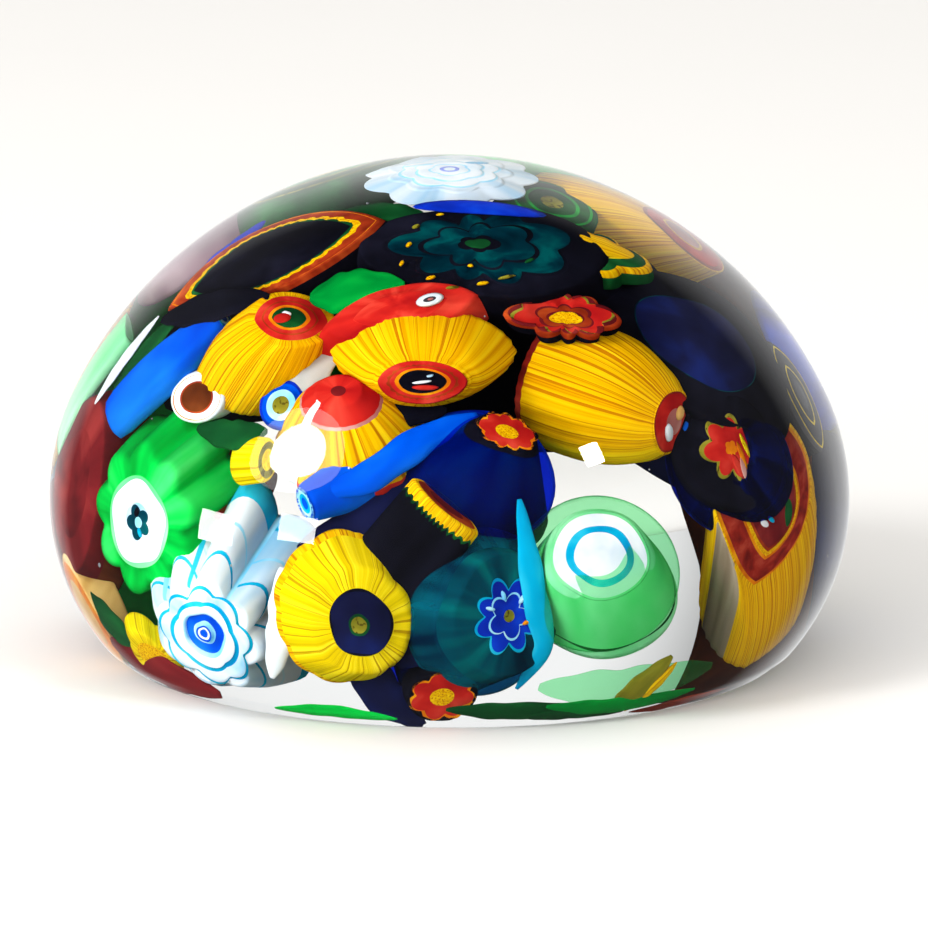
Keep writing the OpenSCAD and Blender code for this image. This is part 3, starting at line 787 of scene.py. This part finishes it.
    slice_of("saw_edge", (77, 52), 90, (1.2, -1.8, -2.1), tip=0.3, wobble=0.03, wide=0.95, long=1.3,
        press=0.45, face=[(0.5, "wine"), (0.86, "rust"), (1, "gold")],
        side=[(0.07, "gold", "saw", 26, 0.05), (0.1, "forest", "saw", 26, 0.06), (0.84, "black"),
            (0.93, "red"), (1, "gold")])
    slice_of("gold_ring", (13, -8), 0, (0.1, -2.8, 0.6), lobes=("petal", 11, 0.04), tip=0, wobble=0.05,
        dish=0.3, rim=0.8, wide=1.12,
        face=[(0.15, "olive"), (0.2, "forest"), (0.58, "navy", "smooth", 4, 0.08), (0.61, "black"),
            (1, "lemon")], side=[(0.8, "lemon"), (1, "gold")])
    slice_of("rose_left", (-31, -22), -60, (-0.1, -1.1, 0.8), lobes=("petal", 8, 0.2), tip=0, wobble=0.07,
        dish=0.2, wide=1.24, long=1.6, ribs=("petal", 8, 0.1),
        face=[(0.08, "azure"), (0.12, "white"), (0.16, "azure"), (0.22, "ice", None, 1, 0, -0.5),
            (0.38, "azure", "smooth", 3, 0.1, -0.6), (0.44, "ice", "smooth", 3, 0.1),
            (0.6, "white", "petal", 5, 0.12, 0.3), (0.68, "turquoise", "petal", 5, 0.12, 0.1),
            (0.86, "snow", "petal", 8, 0.16, 0.25), (0.9, "turquoise", "petal", 8, 0.18), (1, "white")],
        side=[(0.2, "snow", "petal", 8, 0.14), (0.24, "turquoise", "petal", 8, 0.14),
            (0.5, "snow", "petal", 8, 0.14), (0.53, "ice", "petal", 8, 0.14), (0.84, "snow"),
            (1, "turquoise")],
        stripes=[(24, 1.6, "turquoise"), (108, 2.2, "ice"), (160, 1.6, "turquoise"), (205, 2.2, "ice"),
            (296, 1.6, "turquoise")])
    slice_of("green_blossom", (-36, 0), 55, (1.5, -4.2, -0.8), lobes=("petal", 9, 0.22), tip=0,
        wobble=0.05, dish=0.5, rim=1.0, aim=(-47, -9), wide=0.98, long=1.5,
        face=[(0.08, "ice"), (0.22, "teal", "petal", 5, 0.4), (0.28, "snow"),
            (0.6, "white", "smooth", 5, 0.06), (0.66, "mint"), (1, "emerald")],
        flecks=[(0.1, 0.12, 0.5, 0.34, 20, "black"), (-0.1, -0.1, 0.5, 0.25, 60, "turquoise")])
    slice_of("wine_limb", (-70, 12), -80, (2, -4, 1), tip=0.2, wide=1.8, long=1.6,
        face=[(0.6, "wine"), (1, "wine")], side=[(0.5, "wine"), (1, "brown")])
    slice_of("sun_chip", (-20, -34), 0, (0.5, -1.6, -1), lobes=("petal", 3, 0.35), tip=0, wide=1.15,
        face=[(0.7, "gold"), (1, "lemon")])
    slice_of("olive_strip", (23, 16), 80, (1.4, -0.5, 0.3), tip=0.4, wide=0.85,
        face=[(0.5, "lemon"), (1, "olive")], side=[(1, "lemon")])
    slice_of("teal_lantern", (46, 2), 85, (-1.8, -1, -1.8), tip=0.1, dish=0.4, wobble=0.05, aim=(34, 4),
        wide=1.3, long=1.4, veil=("teal_veil", 0.8, 0.5),
        face=[(0.1, "olive"), (0.3, "cobalt", "petal", 5, 0.45), (0.33, "ice", "petal", 5, 0.45),
            (0.5, "cobalt", "petal", 8, 0.4), (0.54, "turquoise", "petal", 8, 0.4), (1, "teal")],
        side=[(0.3, "teal"), (1, "navy")],
        flecks=[(0.3, 0.12, 0.5, 0.2, 20, "ice"), (0.1, 0.34, 0.5, 0.2, 80, "ice"),
            (-0.1, -0.3, 0.4, 0.2, 120, "honey"), (0.25, -0.2, 0.5, 0.2, -30, "ice")])
    slice_of("poppy_base", (5, -30), 30, (0, -2.5, -0.5), tip=0.1, long=2.2, wide=1.1,
        veil=("cobalt_veil", 0.5, 0.2),
        face=[(0.34, "gold"), (0.8, "red", "petal", 7, 0.25), (0.88, "honey", "petal", 7, 0.25),
            (1, "black")], side=[(0.5, "black"), (1, "navy")])
    slice_of("ink_flower", (33, 13), -10, (0, -2, -1.5), tip=0.1, wide=1.3, long=1.5,
        face=[(0.14, "ice"), (0.4, "black", "petal", 6, 0.4), (0.5, "teal", "petal", 6, 0.3),
            (1, "cobalt")], side=[(0.5, "azure"), (1, "cobalt")],
        flecks=[(-0.3, 0.3, 0.3, 0.2, 0, "gold"), (0.3, -0.1, 0.3, 0.2, 50, "ice")])
    slice_of("umber_eye", (-38, 12), 5, (0.4, -6, 3.6), tip=0, wide=1.05, press=0.8,
        face=[(0.55, "brown"), (0.62, "rust"), (0.86, "white"), (1, "honey")], side=[(1, "white")])
    slice_of("ochre_low", (-72, -36), -70, (-0.5, 0.5, 0.5), tip=0.3, wide=1.3,
        face=[(0.6, "ochre"), (1, "honey")], side=[(1, "ochre")])
    slice_of("fern_back", (18, 52), -20, (1, -4.5, -1), tip=0.2, wide=1.9, long=2,
        face=[(0.7, "emerald"), (1, "leaf")])
    slice_of("coal_block", (30, 52), -20, (0.5, -2.4, -1), tip=0.2, wide=2.0, long=2, face=[(1, "black")])
    slice_of("plum_core", (10, 45), -15, (-3, -2, -1.5), tip=0.2, wide=1.6, long=1.6,
        face=[(0.6, "wine"), (1, "brown")], side=[(1, "wine")])


def trails():
    """Streaks of drawn-out colour between the slices, low in the glass and along its left shoulder. The
    green, dark, mint and rust streaks along the foot are painted reflections of the canes in the base; one
    white streak is painted light over the rose's shaded underside, and one pale streak is painted floor
    seen through clear glass.
    """
    trail("moss_low_leaf", SLOTS["moss_low"], "olive",
          [(15.2, -30.2, 1.0), (17.5, -30.6, 3.4), (21, -29.4, 7)], 1.5, node="moss_low")
    for name, slot, paint, path, *size in (
        ("moss_streak", "yellow", "gold", [(16.6, -29.2, 1.0), (19.4, -29.6, 3.6), (21.4, -28.8, 6.2)],
         0.6),
        # the green, dark, mint and rust streaks along the foot are painted reflections of the canes in the
        # base
        ("base_reflection_green_left", "emerald", "emerald",
         [(-17, -30.4, 1.1), (-11, -32.8, 1.7), (-4.5, -34.2, 1.2)], 0.9),
        ("base_reflection_green_right", "emerald", "leaf", [(9, -34, 2.6), (15, -31.6, 1.9), (24, -25.6, 2.4)], 1.0),
        ("base_reflection_dark_right", "forest", "forest", [(7.5, -33.8, 1.2), (12, -32.2, 1.6), (17, -29.6, 1.0)],
         1.0),
        ("base_reflection_mint", "mint", "green_veil", [(8, -34, 5), (16, -30.5, 4), (25, -24.5, 5)], 2.2),
        ("base_reflection_rust", "wine", "rust", [(17, -28.6, 0.8), (22, -26, 0.9), (27.5, -21.4, 1.2)], 0.8),
        ("low_wine_left", "wine", "wine", [(-32, -14, 4.4), (-28, -19.6, 3), (-21, -26.2, 2)], 2.6, 0.8),
        ("low_forest_left", "forest", "forest",
         [(-33.6, -12.4, 9), (-31, -16.6, 6.5), (-27.6, -20.4, 3.5)], 1.9, 0.8),
        ("blue_sweep", "azure", "azure",
         [(-13.4, -32.9, 22), (-7.5, -33.7, 24.1), (-2.4, -32.5, 27.6), (2.9, -30.6, 29.6)], 1.6, 1.0),
        ("night_sweep", "navy", "navy",
         [(-14, -30.6, 16.6), (-6.6, -32.6, 20), (-1, -31.6, 23.4), (4, -29, 25)], 2.6, 1.0),
        ("night_gap", "black", "black", [(-10, -27, 28.4), (-5, -28.6, 29), (0, -29, 29.2)], 1.6),
        ("shade_gap", "forest", "forest",
         [(-22.8, -20.8, 25.4), (-19.6, -23.8, 25.4), (-16.2, -25.6, 26.3)], 1.4),
        ("crown_gap", "forest", "forest", [(-10, -8.6, 43.8), (-5.9, -10.8, 44), (-2, -12.6, 43.9)], 1.9),
        # a pale streak standing in for the bright floor seen through a clear gap in the canes: painted
        # light
        ("painted_floor_streak", "white", "painted_floor_light", [(-15, -22.9, 28.6), (-13.2, -22.1, 30.8), (-9.3, -20.5, 33.8)],
         2.5),
        ("eye_shade", "black", "black", [(-28, -11.4, 34.6), (-23.2, -15.4, 36.6), (-16.8, -19, 38.4)],
         2.1),
        ("lantern_glow", "azure", "turquoise",
         [(6.3, -34, 22.9), (7.2, -35.4, 18), (7.9, -35.8, 13.7), (9, -34.9, 9), (6, -33.8, 4.4)], 1.2),
        ("crown_gold", "yellow", "gold", [(9.4, -13.4, 44.2), (13.9, -13.8, 42.8), (18.3, -13.2, 40.9)],
         1.5),
        # a white streak over the shaded underside of the rose and the gold ring: painted light
        ("rose_painted_light", "white", "white", [(-15.2, -32.7, 16), (-15.2, -32.9, 10.4), (-16.4, -30.8, 4.6)],
         1.5, 0.9),
        ("low_shade", "forest", "forest", [(-0.5, -34.8, 2.6), (5.8, -34.2, 2.3), (15.1, -30.8, 2.2)],
         1.1),
        ("low_blue", "navy", "navy", [(-9, -33, 10), (-5.9, -31.7, 4), (-2, -31, 0.8)], 2.2),
        ("shoulder_white", "white", "white", [(-33.6, -10, 25.4), (-31, -10.4, 30), (-27.4, -9.6, 34.4)],
         1.0),
        ("shoulder_forest", "forest", "forest",
         [(-31.6, -11.6, 26.4), (-28.6, -12.2, 31), (-24.6, -11.4, 35.4)], 1.5),
        ("shoulder_green", "emerald", "leaf", [(-13.2, -19.4, 37.9), (-9.4, -20.8, 39), (-4, -21.4, 39.8)],
         2.6),
        ("shoulder_blue", "cobalt", "cobalt", [(-17, -3, 41), (-20, -6, 39), (-22.6, -5.4, 37.4)], 1.6),
    ):
        trail(name, slot, paint, path, *size)


def flower(centre, petals, ring, ground, count=7):
    return [(0.2, centre), (0.55, petals, "petal", count, 0.25), (0.62, ring, "petal", count, 0.25),
            (1, ground)]


def target(inner, middle, outer, ground):
    return [(0.24, inner), (0.5, middle), (0.58, outer), (0.8, ground), (0.86, outer), (1, ground)]


def star(centre, rays, ground, count=9):
    return [(0.16, centre), (0.6, rays, "point", count, 0.45), (0.66, centre, "point", count, 0.4),
            (1, ground)]


def rear_canes():
    """The far side of the dome, which the front doesn't show: the same kinds of slice in other colours."""
    flank, crown = dict(wide=1.22, long=1.2), dict(wide=1.3, long=1.5)
    for node, look, face, shape in (
        ("rear_slate", (100, 5), target("white", "cobalt", "ice", "navy"), flank),
        ("rear_olive", (122, 0), star("gold", "leaf", "olive"), flank),
        ("rear_umber", (150, 5), flower("gold", "honey", "wine", "brown"), flank),
        ("rear_wine", (-95, 0), target("gold", "wine", "rose", "wine"), flank),
        ("rear_snow", (-114, 5), flower("gold", "periwinkle", "ice", "white"),
         dict(flank, lobes=("petal", 9, 0.14), side=[(1, "snow")])),
        ("rear_fern", (-145, 0), target("red", "white", "mint", "emerald"),
         dict(flank, lobes=("petal", 8, 0.12))),
        ("rear_cobalt", (104, 22), star("white", "ice", "cobalt"), flank),
        ("rear_poppy", (128, 24), flower("gold", "red", "honey", "black", 9), flank),
        ("rear_leaf", (156, 26), target("gold", "red", "gold", "forest"), flank),
        ("rear_sun", (-106, 22), target("black", "red", "rust", "gold"),
         dict(flank, ribs=("smooth", 30, 0.03))),
        ("rear_ruby", (-132, 24), flower("white", "gold", "wine", "red", 8), flank),
        ("rear_violet", (-160, 26), star("gold", "turquoise", "navy", 8), flank),
        ("crown_ink", (138, 46), target("azure", "black", "slate", "black"), crown),
        ("crown_fern", (172, 46), flower("gold", "mint", "emerald", "forest"),
         dict(crown, lobes=("petal", 10, 0.1))),
        ("crown_ice", (-153, 48), target("white", "turquoise", "white", "turquoise"), crown),
        ("crown_mauve", (-118, 46), flower("ochre", "rose", "wine", "mauve"), crown),
        ("cap_pine", (76, 68), target("olive", "forest", "leaf", "forest"),
         dict(nudge=(-4, -2.5, -1.2), wide=1.25, long=1.6)),
        ("cap_fern", (158, 65), star("lemon", "mint", "emerald"), crown),
        ("cap_moss", (-120, 66), target("lemon", "leaf", "olive", "forest"), dict(wide=1.6, long=1.8)),
    ):
        slice_of(node, look, face=face, tip=0.2, dish=0.4, wobble=0.05, around=72, rim=0.8, **shape)


# ---------------------------------------------------------------- studio

def make_floor():
    mesh = bpy.data.meshes.new("floor")
    size, z = 6.0, -0.05 * MM
    corners = [(-size, -size, z), (size, -size, z), (size, size, z), (-size, size, z)]
    mesh.from_pydata(corners, [], [(0, 1, 2, 3)])
    mesh.materials.append(floor_paper())
    floor = bpy.data.objects.new("floor", mesh)
    bpy.context.scene.collection.objects.link(floor)
    floor.visible_glossy = False


def lamp(name, bearing, climb, distance, size, watts, shape="DISK", seen=True):
    """An area lamp aimed at the object. Bearing 0 is the front, positive to the right."""
    b, c = math.radians(bearing), math.radians(climb)
    away = Vector((math.sin(b) * math.cos(c), -math.cos(b) * math.cos(c), math.sin(c)))
    data = bpy.data.lights.new(name, "AREA")
    data.shape, data.size, data.energy = shape, size, watts
    obj = bpy.data.objects.new(name, data)
    obj.location = Vector((0, 0, 0.02)) + away * distance
    obj.rotation_euler = away.to_track_quat("Z", "Y").to_euler()
    obj.visible_camera = False
    obj.visible_glossy = seen
    obj.visible_transmission = False
    bpy.context.scene.collection.objects.link(obj)


def soft_sky(strength):
    """Even, slightly warm light from the whole ceiling, which the glass doesn't mirror."""
    data = bpy.data.lights.new("ceiling", "SUN")
    data.energy, data.angle, data.color = strength, math.radians(120), (1.0, 0.978, 0.95)
    obj = bpy.data.objects.new("ceiling", data)
    obj.rotation_euler = (math.radians(12), 0, 0)
    obj.visible_glossy = obj.visible_transmission = False
    bpy.context.scene.collection.objects.link(obj)


def make_world():
    """White sweep behind and to the sides, dim towards the camera and overhead, plain white to look at."""
    world = bpy.data.worlds.new("studio")
    bpy.context.scene.world = world
    world.use_nodes = True
    nodes = Nodes(world.node_tree)
    # directions from -1..1 moved to 0..1, and turned a little off the camera's line
    half = nodes.add("ShaderNodeMapping")
    half.inputs["Location"].default_value = (0.5, 0.5, 0.5)
    half.inputs["Scale"].default_value = (0.5, 0.5, 0.5)
    half.inputs["Rotation"].default_value = (0, 0, math.radians(8))
    nodes.join(nodes.add("ShaderNodeTexCoord").outputs["Generated"], half.inputs["Vector"])
    split = nodes.add("ShaderNodeSeparateXYZ")
    nodes.join(half.outputs["Vector"], split.inputs[0])
    behind = nodes.ramp(split.outputs["Y"], [(0.83, (0.08, 0.08, 0.08)), (0.95, (1.0, 1.0, 1.0))])
    low = nodes.ramp(split.outputs["Z"], [(0.8, (1, 1, 1)), (0.87, (0.1, 0.1, 0.1))])
    studio = nodes.add("ShaderNodeBackground", Strength=1.0)
    nodes.join(nodes.mix(1.0, behind, low, blend="MULTIPLY"), studio.inputs["Color"])
    plain = nodes.add("ShaderNodeBackground", Strength=0.97)
    plain.inputs["Color"].default_value = (*linear((254, 253, 251)), 1)
    path = nodes.add("ShaderNodeLightPath")
    nodes.finish(nodes.blend(path.outputs["Is Camera Ray"], studio, plain), "ShaderNodeOutputWorld")


def make_camera():
    """A long lens a little above the object, in front of it."""
    rise, roll, distance = math.radians(12.8), math.radians(-0.38), 0.6
    aim = Vector((0.00054, 0, 0.0182))
    data = bpy.data.cameras.new("camera")
    data.lens, data.sensor_width = 232.6, 36
    data.clip_start, data.clip_end = 0.05, 50
    camera = bpy.data.objects.new("camera", data)
    camera.location = aim + Vector((0, -math.cos(rise), math.sin(rise))) * distance
    camera.rotation_euler = (math.pi / 2 - rise, roll, 0)
    bpy.context.scene.collection.objects.link(camera)
    bpy.context.scene.camera = camera


def make_lamps():
    """Bearing, climb, distance, size and power of each lamp; the windows show as small squares."""
    lamp("key_softbox", -52, 37, 0.9, 0.24, 3.6)
    lamp("key_halo", -52, 36, 0.95, 0.44, 1.5)
    lamp("left_window", -67.6, 3.5, 0.9, 0.18, 2.2, shape="SQUARE")
    lamp("left_window_two", -42.7, 9.2, 0.9, 0.17, 1.8, shape="SQUARE")
    lamp("right_spark", 49, 38, 0.9, 0.085, 1.3, shape="SQUARE")
    lamp("front_fill", -30, 14, 1.3, 0.7, 4.6, seen=False)
    soft_sky(3.0)


def main():
    scene = bpy.context.scene
    scene.view_settings.view_transform = "Standard"
    scene.cycles.caustics_refractive = True
    scene.cycles.max_bounces = 20
    scene.cycles.transmission_bounces = 20
    scene.cycles.transparent_max_bounces = 32
    make_camera()
    make_world()
    make_floor()
    make_lamps()
    make_dome()
    make_bubbles()
    front_canes()
    trails()
    rear_canes()


main()
